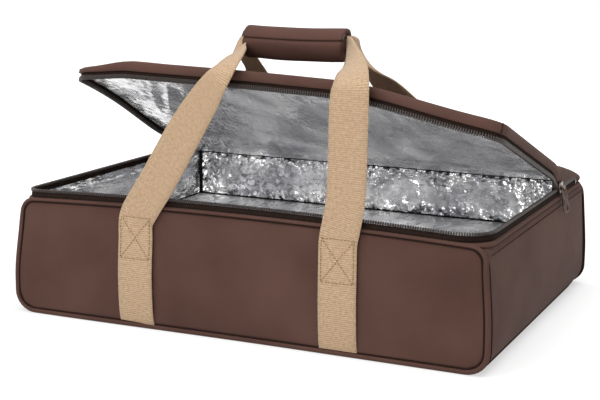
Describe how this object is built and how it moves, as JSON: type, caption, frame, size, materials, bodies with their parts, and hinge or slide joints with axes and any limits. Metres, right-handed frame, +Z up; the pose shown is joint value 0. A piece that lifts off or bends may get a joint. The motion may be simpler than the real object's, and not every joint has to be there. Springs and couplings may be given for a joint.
{
  "type": "insulated pizza delivery bag",
  "caption": "Soft insulated carrying bag with a foil lining, a zipped lid folded part open, webbing straps and a wrapped carrying handle",
  "frame": {"origin": "middle of the base, on the ground", "axes": "+X to the bag's right as seen from the front, -Y out of the front panel, +Z up"},
  "size_m": [0.51, 0.3833, 0.2983],
  "materials": {
    "outer_fabric": "brown coated polyester weave, satin",
    "foam": "closed-cell insulating foam, matte",
    "foil": "crinkled metallised film, bright",
    "binding": "black woven binding tape",
    "zip_tape": "dark brown woven zip tape",
    "zip_coil": "dark brown nylon coil",
    "zip_metal": "brown lacquered die casting",
    "webbing": "tan ribbed webbing, matte"
  },
  "bodies": {
    "bag": {"front_panel": "outer_fabric", "back_panel": "outer_fabric", "left_panel": "outer_fabric", "right_panel": "outer_fabric", "base_panel": "outer_fabric", "front_piping": "outer_fabric", "back_piping": "outer_fabric", "rim_strip": "outer_fabric", "front_foam": "foam", "back_foam": "foam", "left_foam": "foam", "right_foam": "foam", "base_foam": "foam", "base_pad": "foam", "front_liner": "foil", "back_liner": "foil", "left_liner": "foil", "right_liner": "foil", "floor_liner": "foil", "front_left_binding": "binding", "front_right_binding": "binding", "back_left_binding": "binding", "back_right_binding": "binding", "hinge_binding": "binding", "body_zip_tape": "zip_tape", "body_zip_coil": "zip_coil", "zip_stop_left": "zip_metal", "zip_stop_right": "zip_metal", "lid_rear_panel": "outer_fabric", "lid_rear_band": "outer_fabric", "lid_rear_foam": "foam", "lid_rear_liner": "foil", "lid_rear_zip_left": "zip_tape", "lid_rear_zip_right": "zip_tape", "front_left_strap_sewn": "webbing", "front_right_strap_sewn": "webbing", "back_left_strap_sewn": "webbing", "back_right_strap_sewn": "webbing", "front_left_strap": "webbing", "front_right_strap": "webbing", "back_left_strap": "webbing", "back_right_strap": "webbing"},
    "lid": {"lid_panel": "outer_fabric", "lid_band": "outer_fabric", "lid_foam": "foam", "lid_liner": "foil", "lid_zip_tape": "zip_tape", "lid_zip_coil": "zip_coil"},
    "slider": {"zip_slider": "zip_metal"},
    "pull": {"zip_pull": "zip_metal"},
    "handle": {"front_grip_webbing": "webbing", "back_grip_webbing": "webbing", "handle_wrap": "outer_fabric", "loop_strip": "binding"},
    "wrap_flap": {"handle_flap": "outer_fabric", "hook_strip": "binding"}
  },
  "joints": [
    {"name": "lid_fold", "type": "hinge", "parent": "bag", "child": "lid", "pos_m": [0, 0.115, 0.1558], "axis": [-0.9929, 0.1191, 0], "range_deg": [-18.5, 0]},
    {"name": "zip_slide", "type": "slide", "parent": "bag", "child": "slider", "axis": [0, 1, 0], "range_m": [-0.225, 0.07]},
    {"name": "pull_swing", "type": "hinge", "parent": "slider", "child": "pull", "pos_m": [0.2525, 0.075, 0.1295], "axis": [0, -1, 0], "range_deg": [-10, 110]},
    {"name": "handle_lift", "type": "slide", "parent": "bag", "child": "handle", "axis": [0, 0, 1], "range_m": [0, 0.025], "deforming": ["front_left_strap", "front_right_strap", "back_left_strap", "back_right_strap"]},
    {"name": "flap_peel", "type": "hinge", "parent": "handle", "child": "wrap_flap", "pos_m": [0.017, -0.0773, 0.29548], "axis": [-1, 0, 0], "range_deg": [0, 100]}
  ]
}
